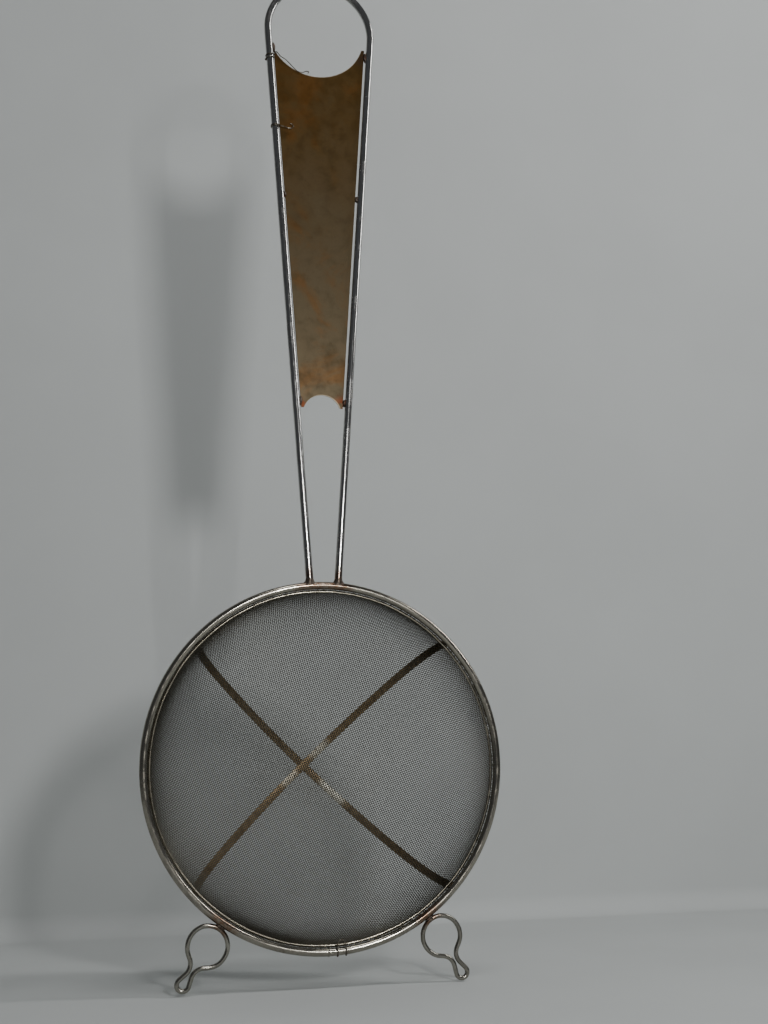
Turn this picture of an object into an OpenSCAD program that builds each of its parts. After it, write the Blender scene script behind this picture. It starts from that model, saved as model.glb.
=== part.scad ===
// Oversized round wire strainer used to sift flour: a rod rim with a woven wire bowl,
// two flat support straps, two keyhole hooks and a long bent-rod handle with a plate web.
// Frame: origin at the centre of the handle's end loop, +Z up along the handle,
// +X to the right, the open side of the bowl faces -Y and the bowl bulges towards +Y.

/* [Rim] */
// Outside diameter of the rim ring
rim_od = 458; // [380:1:520]
// Diameter of the rod of the rim and the handle
rod_d = 10; // [8:0.5:12]

/* [Bowl] */
// Depth of the woven bowl behind the middle plane of the rim
bowl_depth = 148; // [130:1:175]
// Radius of the rounded shoulder between the bowl's wall and its crown
shoulder_r = 120; // [95:1:125]
// Thickness of the woven wire sheet, two wires thick
mesh_t = 1.5; // [1:0.1:2]
// Height of the sheet's straight edge on the open side of the rim's middle plane
mesh_edge = 2; // [1:0.5:3]
// Diameter of the wire hoop that backs the edge of the sheet
hoop_d = 3; // [2:0.5:4]

/* [Support straps] */
// Width of each flat strap
strap_w = 10; // [6:0.5:14]
// Thickness of each flat strap
strap_t = 1.5; // [1:0.1:2]
// Turn of the crossed straps around the bowl's axis, measured from level
strap_turn = 43.5; // [38:0.5:50]

/* [Handle] */
// Distance from the centre of the end loop down to the centre of the rim
handle_drop = 994; // [800:1:1200]
// Outside diameter of the end loop
loop_od = 154; // [130:1:180]
// Distance between the centres of the two legs where they meet the rim
foot_gap = 36; // [30:1:50]

/* [Plate web] */
// Thickness of the sheet between the legs
plate_t = 1.5; // [1:0.1:3]
// Distance from the centre of the end loop down to the top of the lower cut-out
plate_drop = 519; // [400:1:560]
// How far the upper cut-out's centre sits to the left of the end loop's centre
plate_cut_shift = 5; // [0:0.5:6]
// Radius of the lower cut-out
plate_notch_r = 25; // [20:1:26]
// Depth of the lower cut-out above the two lower tips
plate_notch_h = 17; // [10:1:20]
// Mean clearance between the plate's edges and the legs
plate_gap = 1.8; // [1:0.1:3]
// How far the plate sits to the left of the middle
plate_shift = 0.8; // [0:0.1:1]

/* [Hooks] */
// Diameter of the hook wire
hook_d = 6; // [5:0.5:7]
// Angle of each hook from straight down
hook_angle = 34.5; // [30:0.5:45]
// Radius of the hook's round loop, to the middle of the wire
hook_r = 24; // [22:0.5:28]
// Distance from the centre of the round loop to the narrow neck
hook_neck = 35; // [34:0.5:38]
// Clear gap between the two wires at the neck
neck_gap = 1; // [0.6:0.1:2]
// Distance from the neck to the centre of the small end bend
hook_tail = 16; // [15:0.5:20]
// Radius of the small end bend, to the middle of the wire
tail_r = 7.2; // [6:0.1:7.6]
// How far the right hook is turned back towards straight down
right_hook_turn = 5; // [0:1:8]

/* [Tie wires] */
// Diameter of the thin tie wires
tie_d = 1.6; // [1:0.1:2]
// Distance from the centre of the end loop down to the upper tie wire
upper_tie_drop = 45; // [35:1:60]
// Distance from the centre of the end loop down to the lower tie wire
lower_tie_drop = 148; // [120:1:200]
// Sideways place of the wire clip on the bottom of the rim
clip_x = 18; // [12:1:30]
// Width of the wire clip between the middles of its two wires
clip_w = 9; // [6:0.5:12]
// Height of the wire clip above the rim's rod
clip_h = 13; // [8:1:18]

/* [Hidden] */
$fn = 96;

rod_r = rod_d / 2;
rim_r = rim_od / 2 - rod_r;            // middle of the rim's rod
rim_z = -handle_drop;                  // height of the rim's centre
loop_r = loop_od / 2 - rod_r;          // middle of the loop's rod
seat = 0.2;                            // how far a piece settles into the one it is welded to
far = 2 * rim_od;                      // longer than any piece that it cuts
fine = 720;                            // facets around the bowl's axis, for the largest circles

// Bowl outline: a shoulder arc that runs into a flatter crown arc, both about the bowl's axis
mesh_r = rim_r - rod_r + seat;         // outside radius of the sheet inside the rim
shoulder_x = mesh_r - shoulder_r;      // radius at which the shoulder arc is centred

// Distance of the crown's centre in front of the rim plane, for a given bowl depth
function crown_back(depth) =
    (pow(shoulder_x, 2) - pow(depth - shoulder_r, 2)) / (2 * (depth - shoulder_r));

strap_start = 2.9;                     // height of the strap ends above the rim's middle plane

// Points along an arc about a centre c, from angle a to angle b, in n steps
function arc_points(c, r, a, b, n) =
    [for (i = [0 : n]) c + r * [cos(a + (b - a) * i / n), sin(a + (b - a) * i / n)]];

// Legs: the tangent from each foot to the end loop
foot_x = foot_gap / 2;
foot_z = rim_z + sqrt(pow(rim_r, 2) - pow(foot_x, 2));
foot_dist = norm([foot_x, foot_z]);
tangent_angle = atan2(foot_z, foot_x) + acos(loop_r / foot_dist);
leg_top = loop_r * [cos(tangent_angle), sin(tangent_angle)];
leg_len = norm(leg_top - [foot_x, foot_z]);
leg_lean = atan2(leg_top[0] - foot_x, leg_top[1] - foot_z);
leg_start = rod_r - 0.3;               // the foot is pressed a little into the rim's rod

// Middle line of the bent rod: up the right leg, over the end loop and down the left leg
leg_foot = [foot_x, foot_z] + leg_start * [sin(leg_lean), cos(leg_lean)];
handle_path = concat([leg_foot],
                     arc_points([0, 0], loop_r, tangent_angle, 180 - tangent_angle, 60),
                     [[-leg_foot[0], leg_foot[1]]]);

// Distance from the middle plane to the middle of a leg at height z
function leg_x(z) = foot_x + (leg_top[0] - foot_x) * (z - foot_z) / (leg_top[1] - foot_z);

// Heights of the plate's features
plate_apex_z = -plate_drop;
plate_tip_z = plate_apex_z - plate_notch_h;
plate_top_z = -20;
upper_weld_z = -30;
middle_weld_z = -242;
lower_weld_z = -528;
edge_weld_r = 4.2;

// Hook outline: round loop, two reverse bends at the neck, an end bend, and straights between them.
// It is drawn in a plane with +Y outwards from the rim and the round loop's centre at zero.
neck_x = (hook_d + neck_gap) / 2;
touch_r = (pow(neck_x, 2) + pow(hook_neck, 2) - pow(hook_r, 2)) / (2 * (hook_r - neck_x));
bend_r = 0.96 * touch_r;               // a little less than a bend that touches the round loop
bend_x = neck_x + bend_r;
loop_dist = norm([bend_x, hook_neck]);
bend_from = atan2(-hook_neck, -bend_x) + 360 - acos((bend_r + hook_r) / loop_dist);
tail_v = hook_neck + hook_tail;
tail_dist = norm([bend_x, hook_tail]);
bend_to = atan2(hook_tail, -bend_x) + acos((bend_r + tail_r) / tail_dist);
hook_half = concat(arc_points([0, 0], hook_r, -90, bend_from - 180, 14),
                   arc_points([bend_x, hook_neck], bend_r, bend_from, bend_to, 6),
                   arc_points([0, tail_v], tail_r, bend_to - 180, 90, 8));
hook_path = concat(hook_half, [for (i = [len(hook_half) - 2 : -1 : 1])
                               [-hook_half[i][0], hook_half[i][1]]]);
hook_out = rim_od / 2 + hook_d / 2 + hook_r - seat;   // rim's centre to the round loop's centre

steel = [0.78, 0.78, 0.76];
dull_steel = [0.52, 0.52, 0.49];
brown_steel = [0.36, 0.29, 0.2];
plate_brown = [0.45, 0.34, 0.25];
weld_grey = [0.4, 0.37, 0.34];
wire_grey = [0.42, 0.4, 0.36];

// Part of a round ring of rod: middle radius r, from angle a for a sweep of s, in the XY plane
module rod_arc(r, d, a, s) {
    rotate([0, 0, a]) rotate_extrude(angle = s) translate([r, 0]) circle(d = d);
}

// Round rod swept along a flat path in the XY plane; a closed path runs back into its start
module rod_along(path, d, sides, closed) {
    count = len(path);
    last = closed ? count - 1 : count - 2;
    points = [for (i = [0 : count - 1])
        let (before = path[closed ? (i + count - 1) % count : max(i - 1, 0)],
             after = path[closed ? (i + 1) % count : min(i + 1, count - 1)],
             across = [after[1] - before[1], before[0] - after[0]] / norm(after - before))
        for (k = [0 : sides - 1])
            let (a = 360 * k / sides)
            [each path[i] + d / 2 * cos(a) * across, d / 2 * sin(a)]];
    skin = [for (i = [0 : last]) for (k = [0 : sides - 1])
        let (here = i * sides, next = (i + 1) % count * sides, k2 = (k + 1) % sides)
        each [[here + k, here + k2, next + k2], [here + k, next + k2, next + k]]];
    ends = closed ? [] : [[for (k = [sides - 1 : -1 : 0]) k],
                          [for (k = [0 : sides - 1]) (count - 1) * sides + k]];
    polyhedron(points, concat(skin, ends));
}

// A whole round ring of rod in the XY plane
module rod_ring(r, d) {
    rotate_extrude($fn = fine) translate([r, 0]) circle(d = d);
}

// Puts a shape drawn in the XY plane upright in the XZ plane, its +Z towards -Y
module upright() {
    rotate([90, 0, 0]) children();
}

// Puts a shape drawn around the Z axis on the bowl's axis, its +Z towards the bowl's crown
module on_bowl_axis() {
    translate([0, 0, rim_z]) rotate([-90, 0, 0]) children();
}

// Slice of the plane from angle a1 to angle a2, seen from a centre point
module slice(centre, a1, a2) {
    polygon([centre,
             centre + far * [cos(a1), sin(a1)],
             centre + far * [cos((a1 + a2) / 2), sin((a1 + a2) / 2)],
             centre + far * [cos(a2), sin(a2)]]);
}

// Half outline of a band that follows the bowl: from gap to gap + thick outside the sheet.
// The crown's slice passes the meeting line by a hair, so that both arcs join into one outline.
module bowl_band(depth, gap, thick) {
    back = crown_back(depth);
    crown_r = depth + back;
    meet = atan2(back, shoulder_x);
    crown_at = [0, -back];
    shoulder_at = [shoulder_x, 0];
    intersection() {
        difference() {
            translate(crown_at) circle(r = crown_r + gap + thick, $fn = 360);
            translate(crown_at) circle(r = crown_r + gap, $fn = 360);
        }
        slice(crown_at, meet - 0.002, 90);
    }
    intersection() {
        difference() {
            translate(shoulder_at) circle(r = shoulder_r + gap + thick, $fn = 360);
            translate(shoulder_at) circle(r = shoulder_r + gap, $fn = 360);
        }
        slice(shoulder_at, 0, meet);
    }
}

// Everything inside the outer face of the band above, as a filled dome
module filled_dome(depth, gap) {
    back = crown_back(depth);
    crown_r = depth + back;
    meet = atan2(back, shoulder_x);
    rotate_extrude($fn = fine) {
        intersection() {
            translate([0, -back]) circle(r = crown_r + gap, $fn = 360);
            slice([0, -back], meet, 90);
            square([far, far]);
        }
        intersection() {
            translate([shoulder_x, 0]) circle(r = shoulder_r + gap, $fn = 360);
            slice([shoulder_x, 0], 0, meet + 0.01);
        }
        square([shoulder_x + shoulder_r / 2, shoulder_r / 2]);
    }
}

// Points along the bowl's outline from side to side, at a gap outside the sheet
function bowl_line(depth, gap) =
    let (back = crown_back(depth), meet = atan2(back, shoulder_x))
    concat(arc_points([shoulder_x, 0], shoulder_r + gap, 0, meet, 24),
           arc_points([0, -back], depth + back + gap, meet, 180 - meet, 48),
           arc_points([-shoulder_x, 0], shoulder_r + gap, 180 - meet, 180, 24));

// One flat strap, bent in one plane along the outside of the bowl from rim to rim
module strap(depth, turn) {
    inside = bowl_line(depth, seat / 2);
    outside = bowl_line(depth, seat / 2 + strap_t);
    on_bowl_axis() rotate([0, 0, turn]) rotate([90, 0, 0]) translate([0, 0, -strap_w / 2])
        linear_extrude(strap_w) intersection() {
            polygon(concat(outside, [for (i = [len(inside) - 1 : -1 : 0]) inside[i]]));
            translate([-far / 2, strap_start]) square([far, far]);
        }
}

module rim_rod() {
    on_bowl_axis() rod_ring(rim_r, rod_d);
}

module rim_ring() {
    color(steel) rim_rod();
}

// Ring of weld left where the two ends of the rim's rod were joined, at the bottom
module rim_butt_weld() {
    color(weld_grey) difference() {
        translate([2, 0, rim_z - rim_r]) sphere(r = rod_r + 0.6);
        rim_rod();
    }
}

module mesh_bowl() {
    color(dull_steel) on_bowl_axis() rotate_extrude($fn = fine) {
        bowl_band(bowl_depth, -mesh_t, mesh_t);
        translate([mesh_r - mesh_t, -mesh_edge]) square([mesh_t, mesh_edge]);
    }
}

module mesh_hem_hoop() {
    color(dull_steel) on_bowl_axis() translate([0, 0, mesh_edge])
        rod_ring(mesh_r - mesh_t - hoop_d / 2 + seat, hoop_d);
}

module support_strap_inner() {
    color(brown_steel) strap(bowl_depth, -strap_turn);
}

// The outer strap rides over the inner one at the crown, so it is one strap thickness deeper
module support_strap_outer() {
    color(brown_steel) strap(bowl_depth + strap_t, strap_turn);
}

// Cap of weld on the outer strap, where it is joined to the inner one
module strap_crossing_weld() {
    top = bowl_depth + 2 * strap_t + seat / 2;   // outer face of the outer strap on the axis
    color(weld_grey) on_bowl_axis() intersection() {
        translate([0, 0, top - 3.6]) sphere(r = 5);
        translate([-5, -5, top - 0.02]) cube(10);
    }
}

// Four beads that join the strap ends to the back of the rim
module strap_end_welds() {
    color(weld_grey) for (turn = [strap_turn, -strap_turn, 180 + strap_turn, 180 - strap_turn])
        difference() {
            on_bowl_axis() rotate([0, 0, turn])
                translate([rim_r - 1.5, 0, rod_r - 0.2]) sphere(r = 3.6);
            rim_rod();
            on_bowl_axis() filled_dome(bowl_depth + strap_t, strap_t + 0.05);
        }
}

// The space of one straight leg, from the rim up to the end loop
module leg(side) {
    translate([side * foot_x, 0, foot_z]) rotate([0, side * leg_lean, 0])
        translate([0, 0, leg_start]) cylinder(d = rod_d, h = leg_len - leg_start);
}

// One bent rod: the round end loop and both legs
module handle_rod() {
    color(steel) upright() rod_along(handle_path, rod_d, 24, false);
}

// Bead around the foot of a leg
module foot_weld(side) {
    color(weld_grey) difference() {
        translate([side * foot_x, 0, foot_z + rod_r + 0.5]) sphere(r = 6.8);
        rim_rod();
        leg(side);
    }
}

module handle_foot_weld_left() {
    foot_weld(-1);
}

module handle_foot_weld_right() {
    foot_weld(1);
}

// The sheet between the legs: the loop's circle is cut out at the top, an arch at the bottom
module plate_sheet() {
    top_x = leg_x(plate_top_z) - rod_r - plate_gap;
    low_x = leg_x(plate_tip_z) - rod_r - plate_gap;
    upright() translate([0, 0, -plate_t / 2]) linear_extrude(plate_t)
        difference() {
            translate([-plate_shift, 0])
                polygon([[-low_x, plate_tip_z], [low_x, plate_tip_z],
                         [top_x, plate_top_z], [-top_x, plate_top_z]]);
            translate([-plate_cut_shift, 0]) circle(r = loop_r - rod_r, $fn = 180);
            translate([-plate_shift, plate_apex_z - plate_notch_r])
                circle(r = plate_notch_r, $fn = 180);
        }
}

module handle_plate() {
    color(plate_brown) plate_sheet();
}

// A pair of beads that bridge from the plate's edges to the legs at height z
module plate_welds(z) {
    color(weld_grey) for (side = [-1, 1])
        difference() {
            translate([side * (leg_x(z) - rod_r - 1.2), 0, z]) sphere(r = edge_weld_r);
            leg(side);
            plate_sheet();
        }
}

module plate_welds_upper() {
    plate_welds(upper_weld_z);
}

module plate_welds_middle() {
    plate_welds(middle_weld_z);
}

module plate_welds_lower() {
    plate_welds(lower_weld_z);
}

// Closed keyhole of wire
module hook_wire() {
    rod_along(hook_path, hook_d, 16, true);
}

// Places a shape at the hook's round loop, angle measured from straight down
module at_hook(angle) {
    translate([0, 0, rim_z]) upright() rotate([0, 0, 180 + angle]) translate([0, hook_out])
        children();
}

module hook_left() {
    color(steel) at_hook(-hook_angle) hook_wire();
}

// The right hook is bent a little around the centre of its round loop
module hook_right() {
    color(steel) at_hook(hook_angle) rotate([0, 0, -right_hook_turn]) hook_wire();
}

// Two beads in the valleys between a hook's round loop and the outside of the rim
module hook_weld(angle) {
    color(weld_grey) for (side = [-1, 1])
        difference() {
            at_hook(angle) translate([0, -hook_r - hook_d / 2 + 0.6, side * 3.3]) sphere(r = 2.2);
            rim_rod();
            at_hook(angle) rod_ring(hook_r, hook_d);
        }
}

module hook_weld_left() {
    hook_weld(-hook_angle);
}

module hook_weld_right() {
    hook_weld(hook_angle);
}

tie_ring_r = rod_r + tie_d / 2 - 0.05;   // middle of a tie wire wound on the rod

// Turns of tie wire wound side by side around the left leg at height z
module tie_turns(z, count) {
    for (turn = [0 : count - 1])
        translate([-leg_x(z + turn * tie_d), 0, z + turn * tie_d])
            rotate([0, -leg_lean, 0]) rod_ring(tie_ring_r, tie_d);
}

// Two turns on the left leg, with a loose tail along the top edge of the plate
module loop_tie_wire() {
    tail_ring = loop_r - rod_r - tie_d;
    tail_start = 212;
    color(wire_grey) {
        tie_turns(-upper_tie_drop, 2);
        translate([-plate_cut_shift, -tie_ring_r + tie_d, 0]) {
            upright() rod_arc(tail_ring, tie_d, tail_start, 34);
            translate([tail_ring * cos(tail_start), 0, tail_ring * sin(tail_start)])
                rotate([0, -90, 0]) cylinder(d = tie_d, h = 12 - plate_cut_shift);
        }
    }
}

// Two turns on the left leg, with a straight tail across the plate that ends in a curl
module handle_tie_wire() {
    tail_len = 19;
    curl_r = 5;
    start_x = -leg_x(-lower_tie_drop);
    tail_y = -tie_ring_r - 0.2;
    color(wire_grey) {
        tie_turns(-lower_tie_drop, 2);
        translate([start_x, tail_y, -lower_tie_drop]) rotate([0, 90, 0])
            cylinder(d = tie_d, h = tail_len);
        translate([start_x + tail_len, tail_y, -lower_tie_drop + curl_r]) upright()
            rod_arc(curl_r, tie_d, -90, 120);
    }
}

// Wire clip hooked under the rim, its two wires joined by a round top
module rim_tie_wire() {
    clip_turn = asin(clip_x / rim_r);
    color(wire_grey) translate([0, 0, rim_z]) upright() rotate([0, 0, 180 + clip_turn])
        translate([0, rim_r]) {
            for (side = [-1, 1]) translate([side * clip_w / 2, 0, 0]) {
                rotate([0, -90, 0]) rod_arc(tie_ring_r, tie_d, 0, 200);
                translate([0, 0, tie_ring_r]) rotate([90, 0, 0]) cylinder(d = tie_d, h = clip_h);
            }
            translate([0, -clip_h, tie_ring_r]) rod_arc(clip_w / 2, tie_d, 180, 180);
        }
}

rim_ring();
rim_butt_weld();
mesh_bowl();
mesh_hem_hoop();
support_strap_inner();
support_strap_outer();
strap_crossing_weld();
strap_end_welds();
handle_rod();
handle_foot_weld_left();
handle_foot_weld_right();
handle_plate();
plate_welds_upper();
plate_welds_middle();
plate_welds_lower();
hook_left();
hook_right();
hook_weld_left();
hook_weld_right();
loop_tie_wire();
handle_tie_wire();
rim_tie_wire();
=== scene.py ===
"""Oversized wire strainer for sifting flour: the looks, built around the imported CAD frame.

Everything is in metres in the CAD frame: the origin is the centre of the handle's end loop,
+Z runs up the handle, and the open side of the bowl faces -Y.
"""
import math
import random

import bpy
import numpy as np
from mathutils import Matrix, Vector, noise


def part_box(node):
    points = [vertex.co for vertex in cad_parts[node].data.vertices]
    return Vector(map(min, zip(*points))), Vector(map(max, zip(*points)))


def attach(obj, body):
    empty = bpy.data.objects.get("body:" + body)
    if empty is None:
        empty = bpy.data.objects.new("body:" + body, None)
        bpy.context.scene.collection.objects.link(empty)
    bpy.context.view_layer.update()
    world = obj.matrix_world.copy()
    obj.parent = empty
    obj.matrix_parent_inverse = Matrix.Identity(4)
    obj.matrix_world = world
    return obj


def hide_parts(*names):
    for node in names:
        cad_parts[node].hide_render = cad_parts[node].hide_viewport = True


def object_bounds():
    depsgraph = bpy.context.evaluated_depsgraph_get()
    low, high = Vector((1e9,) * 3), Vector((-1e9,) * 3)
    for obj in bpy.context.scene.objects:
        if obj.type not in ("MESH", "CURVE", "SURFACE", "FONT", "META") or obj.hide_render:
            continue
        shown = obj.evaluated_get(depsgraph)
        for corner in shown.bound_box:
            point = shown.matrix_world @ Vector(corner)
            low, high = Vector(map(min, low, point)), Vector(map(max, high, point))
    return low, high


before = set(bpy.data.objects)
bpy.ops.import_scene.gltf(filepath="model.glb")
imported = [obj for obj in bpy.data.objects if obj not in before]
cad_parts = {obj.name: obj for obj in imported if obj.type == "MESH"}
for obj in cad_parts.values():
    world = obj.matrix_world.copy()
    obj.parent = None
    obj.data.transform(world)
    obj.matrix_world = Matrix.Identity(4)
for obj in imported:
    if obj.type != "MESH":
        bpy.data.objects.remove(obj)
cad_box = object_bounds()
MM = 0.001

# ---------------------------------------------------------------- sizes taken from the frame
rim_low, rim_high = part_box("rim_ring")
ROD_R = (rim_high.y - rim_low.y) / 2
RIM_R = (rim_high.x - rim_low.x) / 2 - ROD_R
RIM_Z = (rim_high.z + rim_low.z) / 2
sheet_low, sheet_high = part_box("mesh_bowl")
SHEET_R = (sheet_high.x - sheet_low.x) / 2
SHEET_DEPTH = sheet_high.y
SHEET_EDGE = sheet_low.y
SHOULDER_R = 120 * MM
LOOP_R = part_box("handle_rod")[1].z - ROD_R
foot_low, foot_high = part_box("handle_foot_weld_right")
FOOT_X = (foot_low.x + foot_high.x) / 2
hook_low, hook_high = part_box("hook_left")
HOOK_WIRE_R = (hook_high.y - hook_low.y) / 2
plate_low, plate_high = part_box("handle_plate")
STRAP_W = 10 * MM
STRAP_T = 1.5 * MM
STRAP_TURN = 43.5          # degrees between a strap and level
PLATE_CUT_SHIFT = 5 * MM   # how far the plate's upper cut-out lies left of the loop's centre
NOTCH_R = 25 * MM
NOTCH_HEIGHT = 17 * MM     # height of the arch in the plate's lower end
NOTCH_Z = plate_low.z + NOTCH_HEIGHT - NOTCH_R

ROD_WOBBLE = 0.1 * MM      # how far the rods stray from a perfect line
WEAVE_PITCH = 2.75 * MM
WEAVE_WIRE_R = 0.46 * MM
WEAVE_TURN = 21            # degrees that the wires are turned about the bowl's axis
WEAVE_SIDES = 6
WEAVE_INSET = 2.1          # wire radii from the sheet's outer face to the middle of the cloth
PIECE_POINTS = 88000       # most points in one piece of the weave
NET_EASE = 0.35            # share of plain radial spreading in the net of wires, from 0 to 1
NET_REACH = 1.22           # how far the net runs along its middle wires, in outline lengths
NET_MARGIN = 6             # crossings kept past the cloth's edge
SHORTEST_WIRE = 6          # fewest crossings on a wire
TIE_R = 0.62 * MM          # radius of the tie wires

rng = random.Random(7)
noise.seed_set(7)          # noise_vector otherwise starts from the clock


# ---------------------------------------------------------------- materials
class Shader:
    """A Principled material whose texture nodes read places in the CAD frame or the piece's UVs."""

    def __init__(self, name, metallic, specular=0.5):
        self.material = bpy.data.materials.new(name)
        self.material.use_nodes = True
        self.tree = self.material.node_tree
        self.tree.nodes.clear()
        self.out = self.tree.nodes.new("ShaderNodeOutputMaterial")
        self.bsdf = self.tree.nodes.new("ShaderNodeBsdfPrincipled")
        self.tree.links.new(self.bsdf.outputs["BSDF"], self.out.inputs["Surface"])
        self.bsdf.inputs["Metallic"].default_value = metallic
        self.bsdf.inputs["Specular IOR Level"].default_value = specular
        coords = self.tree.nodes.new("ShaderNodeTexCoord")
        self.place = coords.outputs["Object"]
        self.uv = coords.outputs["UV"]

    def feed(self, socket, value):
        if isinstance(value, bpy.types.NodeSocket):
            self.tree.links.new(value, socket)
        else:
            socket.default_value = value

    def stretched(self, source, scale):
        node = self.tree.nodes.new("ShaderNodeMapping")
        self.feed(node.inputs["Vector"], source)
        node.inputs["Scale"].default_value = scale
        return node.outputs["Vector"]

    def noise(self, scale, detail=4.0, roughness=0.55, source=None, distortion=0.0):
        node = self.tree.nodes.new("ShaderNodeTexNoise")
        self.feed(node.inputs["Vector"], self.place if source is None else source)
        node.inputs["Scale"].default_value = scale
        node.inputs["Detail"].default_value = detail
        node.inputs["Roughness"].default_value = roughness
        node.inputs["Distortion"].default_value = distortion
        return node.outputs["Fac"]

    def ramp(self, value, low, high, start=0.0, end=1.0):
        """Maps low..high smoothly to start..end."""
        node = self.tree.nodes.new("ShaderNodeMapRange")
        node.interpolation_type = "SMOOTHSTEP"
        self.feed(node.inputs["Value"], value)
        for key, number in zip(("From Min", "From Max", "To Min", "To Max"), (low, high, start, end)):
            node.inputs[key].default_value = number
        return node.outputs["Result"]

    def math(self, operation, a, b):
        node = self.tree.nodes.new("ShaderNodeMath")
        node.operation = operation
        self.feed(node.inputs[0], a)
        self.feed(node.inputs[1], b)
        return node.outputs["Value"]

    def mix(self, share, a, b):
        node = self.tree.nodes.new("ShaderNodeMix")
        node.data_type = "RGBA"
        self.feed(node.inputs[0], share)
        for socket, value in ((node.inputs[6], a), (node.inputs[7], b)):
            self.feed(socket, value if isinstance(value, bpy.types.NodeSocket) else (*value, 1))
        return node.outputs[2]

    def axis(self, name):
        node = self.tree.nodes.new("ShaderNodeSeparateXYZ")
        self.feed(node.inputs["Vector"], self.place)
        return node.outputs[name]

    def distance(self, point):
        node = self.tree.nodes.new("ShaderNodeVectorMath")
        node.operation = "DISTANCE"
        self.feed(node.inputs[0], self.place)
        node.inputs[1].default_value = point
        return node.outputs["Value"]

    def bump(self, *layers):
        """Each layer is (height, strength, distance in metres)."""
        normal = None
        for height, strength, distance in layers:
            node = self.tree.nodes.new("ShaderNodeBump")
            node.inputs["Strength"].default_value = strength
            node.inputs["Distance"].default_value = distance
            self.feed(node.inputs["Height"], height)
            if normal is not None:
                self.feed(node.inputs["Normal"], normal)
            normal = node.outputs["Normal"]
        self.feed(self.bsdf.inputs["Normal"], normal)

    def finish(self, color, roughness):
        self.feed(self.bsdf.inputs["Base Color"], color)
        self.feed(self.bsdf.inputs["Roughness"], roughness)
        return self.material


def rod_steel(name, base, tinted_points=(), tint_reach=30 * MM, rough=(0.14, 0.3)):
    """Polished rod: fine marks along and across it, dull blotches, and brown tint at the welds."""
    s = Shader(name, metallic=1.0)
    blotch = s.ramp(s.noise(38, 5, 0.6), 0.42, 0.72)
    haze = s.noise(420, 3)
    along = s.noise(1.0, 4, 0.6, s.stretched(s.uv, (60, 9000, 1)))
    across = s.noise(1.0, 2, 0.5, s.stretched(s.uv, (2600, 120, 1)))
    pits = s.ramp(s.noise(1500, 2), 0.68, 0.78)
    color = s.mix(blotch, base, tuple(0.6 * c for c in base))
    color = s.mix(s.ramp(haze, 0.35, 0.7, 0.0, 0.35), color, (0.2, 0.17, 0.13))
    tint = None
    for point in tinted_points:
        near = s.ramp(s.distance(point), tint_reach * 0.3, tint_reach, 1.0, 0.0)
        tint = near if tint is None else s.math("MAXIMUM", tint, near)
    if tint is not None:
        ragged = s.math("MULTIPLY", tint, s.ramp(s.noise(260, 5), 0.3, 0.6, 0.35, 1.0))
        color = s.mix(ragged, color, (0.17, 0.105, 0.07))
    color = s.mix(s.math("MULTIPLY", pits, 0.6), color, (0.1, 0.07, 0.05))
    s.bump((along, 0.18, 0.05 * MM), (across, 0.12, 0.05 * MM), (pits, 0.3, 0.05 * MM))
    shine = s.ramp(s.math("ADD", blotch, s.math("MULTIPLY", haze, 0.6)), 0.2, 1.2, *rough)
    return s.finish(color, shine)


# Painted shade of creases that the smooth cloth does not have: x, depth, height above the rim's centre,
# and reach
PAINTED_CREASE_SHADE = (
    (-203 * MM, 22 * MM, 62 * MM, 17 * MM),
    (-206 * MM, 18 * MM, 44 * MM, 16 * MM),
    (-196 * MM, 30 * MM, 80 * MM, 13 * MM),
    (201 * MM, 34 * MM, 58 * MM, 14 * MM),
)


def woven_steel():
    """Fine wire: grey steel, olive-brown and duller towards the rim, with a few dark stains and some
    spots of painted crease shade.
    """
    s = Shader("woven_wire", metallic=0.8)
    depth = s.axis("Y")
    edge = s.ramp(depth, 0.0, 75 * MM, 1.0, 0.0)
    stain = s.ramp(s.noise(16, 5, 0.6), 0.5, 0.72)
    grain = s.noise(900, 2)
    color = s.mix(s.ramp(grain, 0.3, 0.7), (0.06, 0.059, 0.05), (0.14, 0.138, 0.115))
    color = s.mix(s.math("MULTIPLY", edge, 0.75), color, (0.055, 0.044, 0.024))
    color = s.mix(s.math("MULTIPLY", stain, 0.5), color, (0.065, 0.05, 0.027))
    # painted shade: dark spots where creases would shade the cloth
    for x, depth_here, z, reach in PAINTED_CREASE_SHADE:
        dark = s.ramp(s.distance((x, depth_here, RIM_Z + z)), reach * 0.35, reach, 0.85, 0.0)
        color = s.mix(dark, color, (0.022, 0.018, 0.009))
    s.bump((grain, 0.15, 0.03 * MM))
    return s.finish(color, s.ramp(grain, 0.3, 0.7, 0.36, 0.55))


# Bright places of wear on the straps near the crossing, partly a painted highlight: x, height above the
# rim's centre, reach and strength
STRAP_WEAR_AND_HIGHLIGHT = (
    (22 * MM, 21 * MM, 20 * MM, 0.7),
    (38 * MM, -36 * MM, 28 * MM, 1.0),
    (-18 * MM, -17 * MM, 18 * MM, 0.5),
)


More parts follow.
